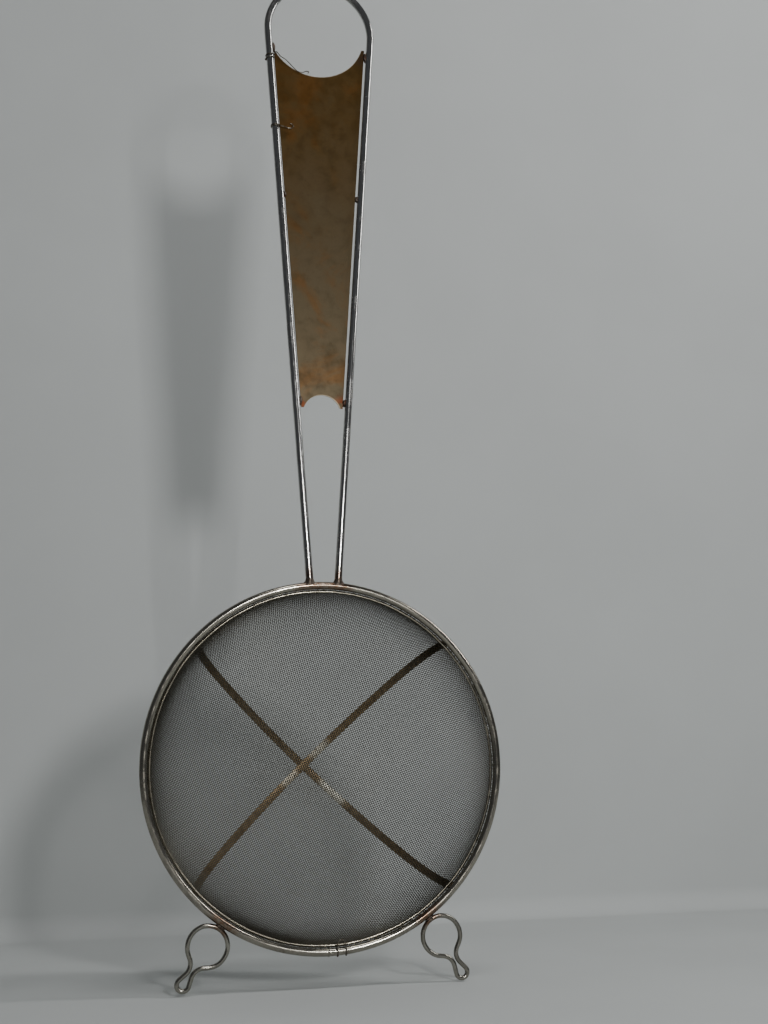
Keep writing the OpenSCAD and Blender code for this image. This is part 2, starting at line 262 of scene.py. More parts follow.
def tarnished_steel():
    """Strap steel: brown oxide, and near the crossing a few near-white places of wear with a painted
    highlight on them.
    """
    s = Shader("tarnished_strap", metallic=0.35, specular=0.4)
    mottle = s.noise(120, 6, 0.65)
    fine = s.noise(1400, 3, 0.6)
    color = s.mix(s.ramp(mottle, 0.35, 0.65), (0.22, 0.14, 0.06), (0.36, 0.25, 0.12))
    # painted highlight on places of wear: near-white patches near the crossing
    for x, z, reach, strength in STRAP_WEAR_AND_HIGHLIGHT:
        away = s.distance((x, SHEET_DEPTH - 2 * MM, RIM_Z + z))
        near = s.ramp(away, reach * 0.45, reach, strength, 0.0)
        wear_and_highlight = s.math("MULTIPLY", near, s.ramp(mottle, 0.32, 0.46, 0.35, 1.0))
        color = s.mix(wear_and_highlight, color, (0.95, 0.92, 0.78))
    color = s.mix(s.ramp(fine, 0.6, 0.72, 0.0, 0.5), color, (0.05, 0.035, 0.02))
    s.bump((fine, 0.25, 0.06 * MM), (mottle, 0.2, 0.2 * MM))
    return s.finish(color, s.ramp(mottle, 0.3, 0.7, 0.3, 0.52))


def stained_sheet():
    """Plate steel: orange-brown heat stain fading to grey-brown at the bottom.

    The edges of both cut-outs carry a painted highlight, the lower tips are rusty and the upper corners
    dark.
    """
    s = Shader("stained_plate", metallic=0.55, specular=0.2)
    height = s.ramp(s.axis("Z"), plate_low.z, plate_high.z)
    cloud = s.noise(11, 6, 0.62, distortion=0.6)
    blotch = s.noise(46, 5, 0.6)
    speck = s.noise(620, 3, 0.6)
    brushed = s.noise(1.0, 3, 0.6, s.stretched(s.place, (2600, 1, 42)))
    level = s.ramp(s.math("ADD", height, s.math("MULTIPLY", cloud, 0.75)), 0.5, 1.5)
    color = s.mix(level, (0.088, 0.066, 0.036), (0.078, 0.042, 0.009))
    color = s.mix(s.ramp(cloud, 0.48, 0.66, 0.0, 0.55), color, (0.125, 0.05, 0.008))
    color = s.mix(s.ramp(blotch, 0.5, 0.75, 0.0, 0.28), color, (0.05, 0.037, 0.014))
    color = s.mix(s.ramp(speck, 0.64, 0.74, 0.0, 0.6), color, (0.035, 0.018, 0.008))
    tip_x = leg_x(plate_low.z) - ROD_R
    for side, reach in ((-1, 12 * MM), (1, 20 * MM)):
        away = s.distance((side * tip_x, 0, plate_low.z + 4 * MM))
        rust = s.ramp(away, reach * 0.3, reach, 1.0, 0.0)
        rust = s.math("MULTIPLY", rust, s.ramp(s.noise(150, 6, 0.7), 0.36, 0.58))
        color = s.mix(rust, color, (0.13, 0.034, 0.01))
    upper = s.distance((-PLATE_CUT_SHIFT, 0, 0))
    lower = s.distance((0.5 * (plate_low.x + plate_high.x), 0, NOTCH_Z))
    # painted highlight: a light tan band along the edges of both cut-outs
    for gap_from_edge in (s.math("SUBTRACT", upper, LOOP_R - ROD_R), s.math("SUBTRACT", lower, NOTCH_R)):
        lit_edge = s.ramp(gap_from_edge, 0.2 * MM, 1.1 * MM, 0.75, 0.0)
        color = s.mix(lit_edge, color, (0.5, 0.42, 0.3))
    for side in (-1, 1):
        away = s.distance((side * plate_high.x, 0, plate_high.z - 6 * MM))
        corner = s.ramp(away, 8 * MM, 30 * MM, 1.0, 0.0)
        corner = s.math("MULTIPLY", corner, s.ramp(blotch, 0.35, 0.6, 0.4, 1.0))
        color = s.mix(corner, color, (0.045, 0.026, 0.016))
    s.bump((brushed, 0.1, 0.04 * MM), (speck, 0.2, 0.05 * MM), (blotch, 0.12, 0.4 * MM))
    return s.finish(color, s.ramp(blotch, 0.3, 0.75, 0.36, 0.58))


def weld_metal():
    """Weld beads: dark scale, brown-red rust in the hollows and small bright spots."""
    s = Shader("weld_bead", metallic=0.7)
    lump = s.noise(420, 5, 0.65)
    fine = s.noise(1800, 4, 0.6)
    color = s.mix(s.ramp(lump, 0.35, 0.65), (0.03, 0.022, 0.017), (0.11, 0.085, 0.065))
    color = s.mix(s.ramp(s.noise(190, 5, 0.6), 0.5, 0.7, 0.0, 0.8), color, (0.12, 0.036, 0.018))
    color = s.mix(s.ramp(fine, 0.64, 0.72, 0.0, 0.6), color, (0.4, 0.37, 0.33))
    s.bump((lump, 0.5, 0.3 * MM), (fine, 0.35, 0.08 * MM))
    return s.finish(color, s.ramp(fine, 0.35, 0.65, 0.28, 0.55))


def tie_steel():
    """Thin tie wire: dull grey with brown patches."""
    s = Shader("tie_wire", metallic=0.9)
    patch = s.noise(260, 4, 0.6)
    color = s.mix(s.ramp(patch, 0.42, 0.62), (0.2, 0.185, 0.155), (0.07, 0.05, 0.03))
    s.bump((s.noise(2400, 2), 0.2, 0.03 * MM))
    return s.finish(color, s.ramp(patch, 0.35, 0.65, 0.25, 0.5))


# ---------------------------------------------------------------- pieces
def piece(name, verts, faces, material, slot, node, uvs=None):
    """A smooth-shaded mesh object that rides on the one body and stands for a CAD node."""
    mesh = bpy.data.meshes.new(name)
    mesh.from_pydata([tuple(v) for v in verts], [], [tuple(f) for f in faces])
    mesh.polygons.foreach_set("use_smooth", [True] * len(mesh.polygons))
    if uvs is not None:
        layer = mesh.uv_layers.new(name="UVMap")
        layer.data.foreach_set("uv", np.asarray(uvs, np.float32).ravel())
    mesh.materials.append(material)
    mesh.update()
    obj = bpy.data.objects.new(name, mesh)
    bpy.context.scene.collection.objects.link(obj)
    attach(obj, "root")
    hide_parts(node)


def unit(v):
    """Vectors of the same directions and length 1."""
    return v / np.maximum(np.linalg.norm(v, axis=-1, keepdims=True), 1e-12)


def side_vectors(path, closed):
    """Tangent, and two vectors square to it, at each point of a path, without twist."""
    ahead = np.roll(path, -1, 0) - np.roll(path, 1, 0)
    if not closed:
        ahead[0] = path[1] - path[0]
        ahead[-1] = path[-1] - path[-2]
    tangent = unit(ahead)
    first = np.cross(tangent[0], (0.0, 1.0, 0.0))
    if np.linalg.norm(first) < 0.2:
        first = np.cross(tangent[0], (1.0, 0.0, 0.0))
    across = [unit(first)]
    for t in tangent[1:]:
        across.append(unit(across[-1] - np.dot(across[-1], t) * t))
    across = np.array(across)
    return tangent, across, np.cross(tangent, across)


def sweep(path, outline, closed=False):
    """Sweeps a closed outline (n x 2, metres) along a path; returns verts, faces and loop UVs."""
    path = np.asarray(path, float)
    outline = np.asarray(outline, float)
    count, sides = len(path), len(outline)
    tangent, a, b = side_vectors(path, closed)
    rings = path[:, None] + (outline[None, :, :1] * a[:, None] + outline[None, :, 1:] * b[:, None])
    verts = rings.reshape(-1, 3)
    lengths = np.concatenate([[0], np.cumsum(np.linalg.norm(np.diff(path, axis=0), axis=1))])
    lengths = np.append(lengths, lengths[-1] + np.linalg.norm(path[0] - path[-1]))
    around = np.concatenate([[0], np.cumsum(np.linalg.norm(np.diff(
        np.vstack([outline, outline[:1]]), axis=0), axis=1))])
    faces, uvs = [], []
    for i in range(count if closed else count - 1):
        here, there = i * sides, (i + 1) % count * sides
        for k in range(sides):
            n = (k + 1) % sides
            faces.append((here + k, there + k, there + n, here + n))
            uvs += [(lengths[i], around[k]), (lengths[i + 1], around[k]),
                    (lengths[i + 1], around[k + 1]), (lengths[i], around[k + 1])]
    if not closed:
        faces.append(tuple(range(sides)))
        faces.append(tuple((count - 1) * sides + k for k in reversed(range(sides))))
        uvs += [(lengths[0], p[0]) for p in outline] + [(lengths[-1], p[0]) for p in outline[::-1]]
    return verts, faces, uvs


def disc(radius, sides):
    """A round outline for sweep()."""
    a = np.linspace(0, 2 * np.pi, sides, endpoint=False)
    return radius * np.stack([np.cos(a), np.sin(a)], 1)


def rounded_bar(width, thick, corner, steps=3):
    """Outline of a flat bar with rounded corners: first axis across the width."""
    points = []
    for sx, sy, start in ((1, 1, 0), (-1, 1, 90), (-1, -1, 180), (1, -1, 270)):
        cx, cy = sx * (width / 2 - corner), sy * (thick / 2 - corner)
        for i in range(steps + 1):
            a = math.radians(start + 90 * i / steps)
            points.append((cx + corner * math.cos(a), cy + corner * math.sin(a)))
    return points


def wobble(points, size, spacing, seed):
    """Moves points by smooth random amounts up to about size, changing over a distance spacing."""
    shift = Vector((seed * 3.7, seed * 1.3, seed * 2.1))
    moves = [np.array(noise.noise_vector(Vector(p) / spacing + shift)) for p in points]
    return np.array([p + size * move for p, move in zip(points, moves)])


def arc(centre, radius, start, end, steps):
    """Points along an arc in the XZ plane; angles in degrees from +X towards +Z."""
    a = np.radians(np.linspace(start, end, steps + 1))
    return np.stack([centre[0] + radius * np.cos(a), 0 * a, centre[1] + radius * np.sin(a)], 1)


# The bowl's outline: crown arc, shoulder arc and a short straight edge, as in the CAD model
CENTRE_R = SHEET_R - SHOULDER_R
BACK = (CENTRE_R ** 2 - (SHEET_DEPTH - SHOULDER_R) ** 2) / (2 * (SHEET_DEPTH - SHOULDER_R))
CROWN_R = SHEET_DEPTH + BACK
MEET = math.atan2(BACK, CENTRE_R)


def onto_bowl(points, gap):
    """Nearest points on the bowl's outer face moved out by gap, and the outward normals."""
    p = np.asarray(points, float) - (0, 0, RIM_Z)
    r = np.maximum(np.hypot(p[..., 0], p[..., 2]), 1e-9)
    y = p[..., 1]
    on_crown = np.arctan2(y + BACK, r) > MEET
    cr, cy = r, y + BACK
    cn = np.maximum(np.hypot(cr, cy), 1e-9)
    sr, sy = r - CENTRE_R, np.maximum(y, 0)
    sn = np.maximum(np.hypot(sr, sy), 1e-9)
    nr = np.where(on_crown, cr / cn, np.where(y > 0, sr / sn, 1.0))
    ny = np.where(on_crown, cy / cn, np.where(y > 0, sy / sn, 0.0))
    new_r = np.where(on_crown, nr * (CROWN_R + gap), np.where(
        y > 0, CENTRE_R + nr * (SHOULDER_R + gap), SHEET_R + gap))
    new_y = np.where(on_crown, ny * (CROWN_R + gap) - BACK, np.where(
        y > 0, ny * (SHOULDER_R + gap), y))
    out = np.stack([new_r * p[..., 0] / r, new_y, new_r * p[..., 2] / r + RIM_Z], -1)
    normal = np.stack([nr * p[..., 0] / r, ny, nr * p[..., 2] / r], -1)
    return out, normal


def bowl_meridian(lengths, gap):
    """Radius and depth at distances along the outline, measured from the crown."""
    s = np.asarray(lengths, float)
    crown_len = (math.pi / 2 - MEET) * (CROWN_R + gap)
    shoulder_len = MEET * (SHOULDER_R + gap)
    a = math.pi / 2 - s / (CROWN_R + gap)
    b = MEET - (s - crown_len) / (SHOULDER_R + gap)
    r = np.where(s < crown_len, (CROWN_R + gap) * np.cos(a), np.where(
        s < crown_len + shoulder_len, CENTRE_R + (SHOULDER_R + gap) * np.cos(b), SHEET_R + gap))
    y = np.where(s < crown_len, (CROWN_R + gap) * np.sin(a) - BACK, np.where(
        s < crown_len + shoulder_len, (SHOULDER_R + gap) * np.sin(b), crown_len + shoulder_len - s))
    return r, y, crown_len + shoulder_len


# ---------------------------------------------------------------- woven wire bowl
def wire_net(gap):
    """Crossing points of the weave over one quarter: cells keep their side length and shear."""
    _, _, total = bowl_meridian([0], gap)
    count = math.ceil(NET_REACH * total / WEAVE_PITCH)
    steps = WEAVE_PITCH * np.arange(count)
    r, y, _ = bowl_meridian(steps, gap)
    net = np.full((count, count, 3), np.nan)
    net[:, 0] = np.stack([r, y, np.full(count, RIM_Z)], 1)
    net[0, :] = np.stack([np.zeros(count), y, r + RIM_Z], 1)
    for diagonal in range(2, 2 * count - 1):
        i = np.arange(max(1, diagonal - count + 1), min(count, diagonal))
        j = diagonal - i
        a, b, c = net[i - 1, j], net[i, j - 1], net[i - 1, j - 1]
        keep = ~np.isnan(a[:, 0]) & ~np.isnan(b[:, 0]) & ~np.isnan(c[:, 0])
        i, j, a, b, c = i[keep], j[keep], a[keep], b[keep], c[keep]
        if not len(i):
            break
        p, normal = onto_bowl(a + b - c, gap)
        for _ in range(8):
            to_a, to_b = p - a, p - b
            da, db = np.linalg.norm(to_a, axis=1), np.linalg.norm(to_b, axis=1)
            u = unit(to_a - (to_a * normal).sum(1)[:, None] * normal)
            w = np.cross(normal, u)
            ua, wa = (to_a * u).sum(1) / da, (to_a * w).sum(1) / da
            ub, wb = (to_b * u).sum(1) / db, (to_b * w).sum(1) / db
            det = ua * wb - wa * ub
            det = np.where(np.abs(det) < 0.08, 0.08, det)    # keeps steps short in very flat cells
            ea, eb = WEAVE_PITCH - da, WEAVE_PITCH - db
            du = (ea * wb - wa * eb) / det
            dw = (ua * eb - ea * ub) / det
            p, normal = onto_bowl(p + du[:, None] * u + dw[:, None] * w, gap)
        p[p[:, 1] < SHEET_EDGE - NET_MARGIN * WEAVE_PITCH] = np.nan
        net[i, j] = p
    return net


def turned(vectors):
    """Turns vectors about the bowl's axis by the weave's angle."""
    c, s = math.cos(math.radians(WEAVE_TURN)), math.sin(math.radians(WEAVE_TURN))
    x, y, z = np.moveaxis(vectors, -1, 0)
    return np.stack([c * x - s * z, y, s * x + c * z], -1)


def radial_net(gap, count):
    """The same cloth spread evenly from the crown outwards."""
    i, j = np.meshgrid(np.arange(count), np.arange(count), indexing="ij")
    length = WEAVE_PITCH * np.hypot(i, j)
    r, y, _ = bowl_meridian(length, gap)
    turn = np.arctan2(j, i)
    return np.stack([r * np.cos(turn), y, r * np.sin(turn) + RIM_Z], -1)


def woven_bowl(material):
    """Every wire of the plain weave as a thin tube, in pieces of a few dozen wires."""
    gap = -WEAVE_INSET * WEAVE_WIRE_R
    quarter = wire_net(gap)
    count = len(quarter)
    even = radial_net(gap, count)
    quarter = (1 - NET_EASE) * quarter + NET_EASE * even
    quarter, normal = onto_bowl(quarter, gap)
    size = 2 * count - 1
    net = np.empty((size, size, 3))
    out = np.empty((size, size, 3))
    middle = count - 1
    for sx in (1, -1):
        for sz in (1, -1):
            rows = middle + sx * np.arange(count)
            cols = middle + sz * np.arange(count)
            mirror = np.array([sx, 1, sz])
            net[np.ix_(rows, cols)] = turned((quarter - (0, 0, RIM_Z)) * mirror) + (0, 0, RIM_Z)
            out[np.ix_(rows, cols)] = turned(normal * mirror)
    i, j = np.meshgrid(np.arange(size), np.arange(size), indexing="ij")
    side = np.where((i + j) % 2 == 0, 1.0, -1.0)[..., None]
    ragged = np.array([[rng.uniform(0, 1.2) * MM for _ in range(size)] for _ in range(2)])
    corners = disc(1, WEAVE_SIDES)
    for direction, label in ((0, "warp"), (1, "weft")):
        grid = net + (1 - 2 * direction) * side * out * WEAVE_WIRE_R
        up = out
        if direction:
            grid, up = grid.swapaxes(0, 1), up.swapaxes(0, 1)
        verts, faces, ends, parts, rings = [], [], [], [], 0
        for w in range(size):
            with np.errstate(invalid="ignore"):
                inside = grid[w, :, 1] > SHEET_EDGE + ragged[direction, w]
            if inside.sum() < SHORTEST_WIRE:
                continue
            line, normals = grid[w][inside], up[w][inside]
            tangent = unit(np.gradient(line, axis=0))
            across = unit(np.cross(tangent, normals))
            lift = np.cross(across, tangent)
            for cx, cy in corners:
                verts.append(line + WEAVE_WIRE_R * (cx * across + cy * lift))
            base, n = rings * WEAVE_SIDES, len(line)
            k = np.arange(n - 1)
            for c in range(WEAVE_SIDES):
                d = (c + 1) % WEAVE_SIDES
                faces.append(np.stack([base + c * n + k, base + d * n + k,
                                       base + d * n + k + 1, base + c * n + k + 1], 1))
            start = base + n * np.arange(WEAVE_SIDES)
            ends += [start[::-1].tolist(), (start + n - 1).tolist()]
            rings += n
            if rings * WEAVE_SIDES > PIECE_POINTS:
                parts.append((verts, faces, ends))
                verts, faces, ends, rings = [], [], [], 0
        if verts:
            parts.append((verts, faces, ends))
        for number, (v, f, e) in enumerate(parts):
            piece(f"mesh_{label}_{number + 1}", np.vstack(v), np.vstack(f).tolist() + e, material,
                  "woven_wire", "mesh_bowl")


# ---------------------------------------------------------------- rods and straps
def leg_geometry():
    """Right leg: its foot on the rim, the point where it meets the end loop, and that point's angle."""
    foot = np.array([FOOT_X, RIM_Z + math.sqrt(RIM_R ** 2 - FOOT_X ** 2)])
    dist = np.linalg.norm(foot)
    angle = math.degrees(math.atan2(foot[1], foot[0]) + math.acos(LOOP_R / dist))
    top = LOOP_R * np.array([math.cos(math.radians(angle)), math.sin(math.radians(angle))])
    return foot, top, angle


def leg_x(z):
    """Distance of a leg's middle line from the handle's middle plane at a height."""
    foot, top, _ = leg_geometry()
    return foot[0] + (top[0] - foot[0]) * (z - foot[1]) / (top[1] - foot[1])


def rim(material):
    """The ring of rod."""
    path = arc((0, RIM_Z), RIM_R, 0, 360, 420)[:-1]
    path = wobble(path, ROD_WOBBLE, 60 * MM, 1)
    verts, faces, uvs = sweep(path, disc(ROD_R - ROD_WOBBLE, 32), closed=True)
    piece("rim", verts, faces, material, "bright_rod", "rim_ring", uvs)


def handle(material):
    """One rod: up the right leg, round the end loop and down the left leg."""
    foot, top, angle = leg_geometry()
    start = foot + 0.75 * ROD_R * unit(top - foot)
    leg = np.linspace(start, top, 120)[:-1]
    right = np.stack([leg[:, 0], 0 * leg[:, 0], leg[:, 1]], 1)
    left = right[::-1] * (-1, 1, 1)
    path = np.vstack([right, arc((0, 0), LOOP_R, angle, 180 - angle, 110), left])
    path = wobble(path, ROD_WOBBLE, 90 * MM, 2)
    verts, faces, uvs = sweep(path, disc(ROD_R - ROD_WOBBLE, 32))
    piece("handle", verts, faces, material, "bright_rod", "handle_rod", uvs)


def hem_hoop(material):
    """The wire ring that holds the cloth's cut edge inside the rim."""
    low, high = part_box("mesh_hem_hoop")
    wire_r = (high.y - low.y) / 2
    ring_r = (high.x - low.x) / 2 - wire_r
    path = arc((0, RIM_Z), ring_r, 0, 360, 420)[:-1] + (0, (high.y + low.y) / 2, 0)
    path = wobble(path, 0.35 * MM, 35 * MM, 3)
    verts, faces, uvs = sweep(path, disc(wire_r * 0.92, 16), closed=True)
    piece("hem_hoop", verts, faces, material, "hem_wire", "mesh_hem_hoop", uvs)


def strap(name, turn, lift, material, node):
    """Flat bar along the back of the bowl; lift raises its crown over the other strap."""
    steps = 240
    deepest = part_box(node)[1].y
    _, _, total = bowl_meridian([0], STRAP_T / 2)
    s = np.linspace(-1, 1, steps + 1)
    ends = total - 2.9 * MM
    r, y, _ = bowl_meridian(np.abs(s) * ends, STRAP_T / 2 + 0.1 * MM)
    r = r * np.sign(s)
    y = y + lift * np.clip(1.15 - np.abs(s), 0, 1) ** 0.5 * (np.abs(s) < 0.98)
    a = math.radians(turn)
    y = np.minimum(y, deepest - STRAP_T / 2)
    path = np.stack([r * math.cos(a), y, RIM_Z - r * math.sin(a)], 1)
    path = wobble(path, 0.1 * MM, 30 * MM, 4 + lift * 1000)
    tangent = unit(np.gradient(path, axis=0))
    width_dir = np.array([math.sin(a), 0.0, math.cos(a)])
    up = np.cross(tangent, width_dir)
    bar = np.array(rounded_bar(STRAP_W, STRAP_T, 0.45 * MM))
    n = len(bar)
    edge = 1 + 0.03 * np.array([noise.noise(Vector((k * 0.13, turn, 1))) for k in range(steps + 1)])
    verts = (path[:, None] + bar[None, :, :1] * edge[:, None, None] * width_dir
             + bar[None, :, 1:] * up[:, None]).reshape(-1, 3)
    faces = [(i * n + k, i * n + (k + 1) % n, (i + 1) * n + (k + 1) % n, (i + 1) * n + k)
             for i in range(steps) for k in range(n)]
    faces += [tuple(reversed(range(n))), tuple(steps * n + k for k in range(n))]
    piece(name, verts, faces, material, "tarnished_strap", node)


# ---------------------------------------------------------------- hooks
HOOK_R = 24 * MM           # middle line of the round eye
HOOK_NECK = 35 * MM        # from the eye's centre to the neck
HOOK_TAIL = 16 * MM        # from the neck to the centre of the small end loop
TAIL_R = 7.2 * MM
NECK_GAP = 1 * MM
NECK_EASE = 0.96           # the neck's bend, as a share of the bend that just touches the eye
HOOK_ANGLE = 34.5          # degrees from the rim's lowest point
RIGHT_HOOK_TURN = 5        # degrees that the right hook is bent


def hook_outline():
    """Middle line of a hook in its own plane: +V points away from the rim."""
    neck = HOOK_WIRE_R + NECK_GAP / 2
    touch = (neck ** 2 + HOOK_NECK ** 2 - HOOK_R ** 2) / (2 * (HOOK_R - neck))
    bend = NECK_EASE * touch
    cx = neck + bend
    dist = math.hypot(cx, HOOK_NECK)
    start = math.degrees(math.atan2(-HOOK_NECK, -cx)) + 360
    start -= math.degrees(math.acos((bend + HOOK_R) / dist))
    tail_dist = math.hypot(cx, HOOK_TAIL)
    end = math.degrees(math.atan2(HOOK_TAIL, -cx))
    end += math.degrees(math.acos((bend + TAIL_R) / tail_dist))
    half = np.vstack([
        arc((0, 0), HOOK_R, -90, start - 180, 60),
        arc((cx, HOOK_NECK), bend, start, end, 24),
        arc((0, HOOK_NECK + HOOK_TAIL), TAIL_R, end - 180, 90, 30)])
    return np.vstack([half, half[-2:0:-1] * (-1, 1, 1)])


def hook_place(points, side):
    """Moves hook outline points (u, 0, v) to the rim; side is -1 for left and 1 for right."""
    turn = math.radians(-side * HOOK_ANGLE)
    own = math.radians(-RIGHT_HOOK_TURN) if side > 0 else 0.0
    u, v = points[:, 0], points[:, 2]
    u, v = u * math.cos(own) + v * math.sin(own), v * math.cos(own) - u * math.sin(own)
    v = v + RIM_R + ROD_R + HOOK_WIRE_R + HOOK_R - 0.2 * MM
    x = u * math.cos(turn) - v * math.sin(turn)
    z = u * math.sin(turn) + v * math.cos(turn)
    return np.stack([x, points[:, 1], RIM_Z - z], 1)


def hook(name, side, material, node):
    """A keyhole of thin rod below the rim."""
    path = hook_place(hook_outline(), side)
    path = wobble(path, 0.25 * MM, 14 * MM, 9 + side)
    verts, faces, uvs = sweep(path, disc(HOOK_WIRE_R - 0.1 * MM, 24), closed=True)
    piece(name, verts, faces, material, "hook_wire", node, uvs)


# ---------------------------------------------------------------- welds
def lump(centre, radii, axes=None, seed=0, rough=0.16):
    """An uneven bead: a ball of radii along three axes, pushed in and out by noise."""
    rows, cols = 22, 32
    verts, faces = [], []
    axes = np.eye(3) if axes is None else np.asarray(axes, float)
    for i in range(rows + 1):
        t = math.pi * i / rows
        for k in range(cols):
            p = 2 * math.pi * k / cols
            d = np.array([math.sin(t) * math.cos(p), math.sin(t) * math.sin(p), math.cos(t)])
            n1 = noise.noise(Vector(d * 1.7) + Vector((seed, 0, 0)))
            n2 = noise.noise(Vector(d * 4.5) + Vector((0, seed, 0)))
            verts.append(np.asarray(centre) + (d * radii * (1 + rough * n1 + rough * 0.5 * n2)) @ axes)
    for i in range(rows):
        for k in range(cols):
            n = (k + 1) % cols
            faces.append((i * cols + k, (i + 1) * cols + k, (i + 1) * cols + n, i * cols + n))
    return verts, faces


def joined(parts):
    """One list of points and faces from several solids."""
    verts, faces = [], []
    for v, f in parts:
        faces += [tuple(k + len(verts) for k in face) for face in f]
        verts += list(v)
    return verts, faces


def welds(name, parts, material, node):
    """The beads that stand for one weld node."""
    piece(name, *joined(parts), material, "weld_bead", node)


def foot_collar(side, seed):
    """Concave fillet from the rim's rod up around the foot of a leg, with a rippled surface."""
    foot, top, _ = leg_geometry()
    lean = unit(top - foot) * (side, 1)
    rows, cols = 16, 48
    verts, faces = [], []
    for i in range(rows + 1):
        t = i / rows
        for k in range(cols):
            a = 2 * math.pi * k / cols
            cx, cy = math.cos(a), math.sin(a)
            ripple = noise.noise(Vector((cx * 1.6, cy * 1.6, t * 2.2 + seed)))
            reach = 8.2 * MM * (1 + 0.12 * ripple)
            bottom_r = min(reach, 0.99 * ROD_R / max(abs(cy), 1e-6))
            bottom_z = math.sqrt(max(ROD_R ** 2 - (bottom_r * cy) ** 2, 0)) - 0.15 * MM
            top_r, top_z = ROD_R + 0.12 * MM, (9.4 + 1.2 * ripple) * MM
            bend_r, bend_z = ROD_R + 0.5 * MM, max(bottom_z + 0.6 * MM, 4.4 * MM)
            w0, w1, w2 = (1 - t) ** 2, 2 * t * (1 - t), t * t
            rr = w0 * bottom_r + w1 * bend_r + w2 * top_r
            zz = w0 * bottom_z + w1 * bend_z + w2 * top_z
            rr += 0.14 * MM * noise.noise(Vector((cx * 5, cy * 5, t * 7 + seed))) * (1 - t * 0.7)
            verts.append((side * foot[0] + rr * cx + lean[0] * zz, rr * cy, foot[1] + lean[1] * zz))
    for i in range(rows):
        for k in range(cols):
            n = (k + 1) % cols
            faces.append((i * cols + k, i * cols + n, (i + 1) * cols + n, (i + 1) * cols + k))
    faces.append(tuple(reversed(range(cols))))
    faces.append(tuple(rows * cols + k for k in range(cols)))
    return verts, faces


def plate_welds(node, seed, length, material):
    """Beads at one height, front and back, where the plate meets both legs."""
    low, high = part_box(node)
    z = (low.z + high.z) / 2
    parts = []
    for side in (-1, 1):
        x = side * (leg_x(z) - ROD_R - 0.6 * MM)
        for front in (-1, 1):
            centre = (x, front * 0.9 * MM, z + rng.uniform(-1, 1) * MM)
            parts.append(lump(centre, (2.6 * MM, 1.9 * MM, length * rng.uniform(0.8, 1.1)),
                              seed=seed + side + 5 * front, rough=0.3))
    welds(node + "_beads", parts, material, node)


def hook_welds(material):
    """Two long beads on each hook, before and behind the place where it touches the rim."""
    for side, node in ((-1, "hook_weld_left"), (1, "hook_weld_right")):
        low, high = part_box(node)
        centre = (low + high) / 2
        out = unit(np.array([centre.x, 0, centre.z - RIM_Z]))
        tangent = np.array([-out[2], 0, out[0]])
        axes = [tangent, (0, 1, 0), out]
        parts = [lump((centre.x, front * 2.6 * MM, centre.z), (5.6 * MM, 1.7 * MM, 2.0 * MM), axes,
                      seed=side * 3 + front, rough=0.3) for front in (-1, 1)]
        welds(node + "_beads", parts, material, node)


def strap_welds(material):
    """Beads at the four strap ends, and one where the straps cross."""
    ends = []
    for turn in (STRAP_TURN, -STRAP_TURN, 180 + STRAP_TURN, 180 - STRAP_TURN):
        a = math.radians(turn)
        out = np.array([math.cos(a), 0, -math.sin(a)])
        across = np.array([math.sin(a), 0, math.cos(a)])
        centre = out * (RIM_R - 2.2 * MM) + (0, ROD_R - 0.9 * MM, RIM_Z)
        ends.append(lump(centre, (2.4 * MM, 1.7 * MM, 4.6 * MM), [out, (0, 1, 0), across],
                         seed=turn, rough=0.3))
    welds("strap_end_beads", ends, material, "strap_end_welds")
    low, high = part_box("strap_crossing_weld")
    crown = ((low.x + high.x) / 2, high.y - 1.0 * MM, (low.z + high.z) / 2)
    welds("crossing_bead", [lump(crown, (3.6 * MM, 0.95 * MM, 3.3 * MM), seed=51, rough=0.2)],
          material, "strap_crossing_weld")


def rim_joint(rim_steel):
    """A low ridge around the rod where its ends meet, and three specks of weld spatter."""
    low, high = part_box("rim_butt_weld")
    middle = (low + high) / 2
    ring = arc((0, 0), ROD_R + 0.05 * MM, 0, 360, 40)[:-1]
    path = np.stack([0 * ring[:, 0], ring[:, 0], ring[:, 2]], 1) + (middle.x, 0, middle.z)
    path = wobble(path, 0.5 * MM, 3 * MM, 13)
    verts, faces, _ = sweep(path, disc(0.75 * MM, 10), closed=True)
    specks = [lump((middle.x + dx * MM, -ROD_R * 0.93, middle.z + dz * MM), (0.7 * MM,) * 3, seed=dx)
              for dx, dz in ((-3.4, 0.6), (2.9, -0.8), (4.8, 1.0))]
    welds("rim_joint_bead", [(verts, faces)] + specks, rim_steel, "rim_butt_weld")


def all_welds(material, rim_steel):
    """The welds in the order of their random draws; the rim's joint is as bright as the rim."""
    for side, node in ((-1, "handle_foot_weld_left"), (1, "handle_foot_weld_right")):
        welds(node + "_collar", [foot_collar(side, 3.1 * side)], material, node)
    plate_welds("plate_welds_upper", 11, 6.5 * MM, material)
    plate_welds("plate_welds_middle", 23, 4.0 * MM, material)
    plate_welds("plate_welds_lower", 37, 5.0 * MM, material)
    hook_welds(material)
    strap_welds(material)
    rim_joint(rim_steel)


# ---------------------------------------------------------------- tie wires
def smooth_path(points, per_span=12):
    """Catmull-Rom curve through a short list of points."""
    p = np.asarray(points, float)
    p = np.vstack([2 * p[0] - p[1], p, 2 * p[-1] - p[-2]])
    t = np.linspace(0, 1, per_span, endpoint=False)[:, None]
    spans = [0.5 * ((2 * b) + (c - a) * t + (2 * a - 5 * b + 4 * c - d) * t ** 2
                    + (3 * b - a - 3 * c + d) * t ** 3) for a, b, c, d in zip(p, p[1:], p[2:], p[3:])]
    return np.vstack(spans + [p[-2:-1]])


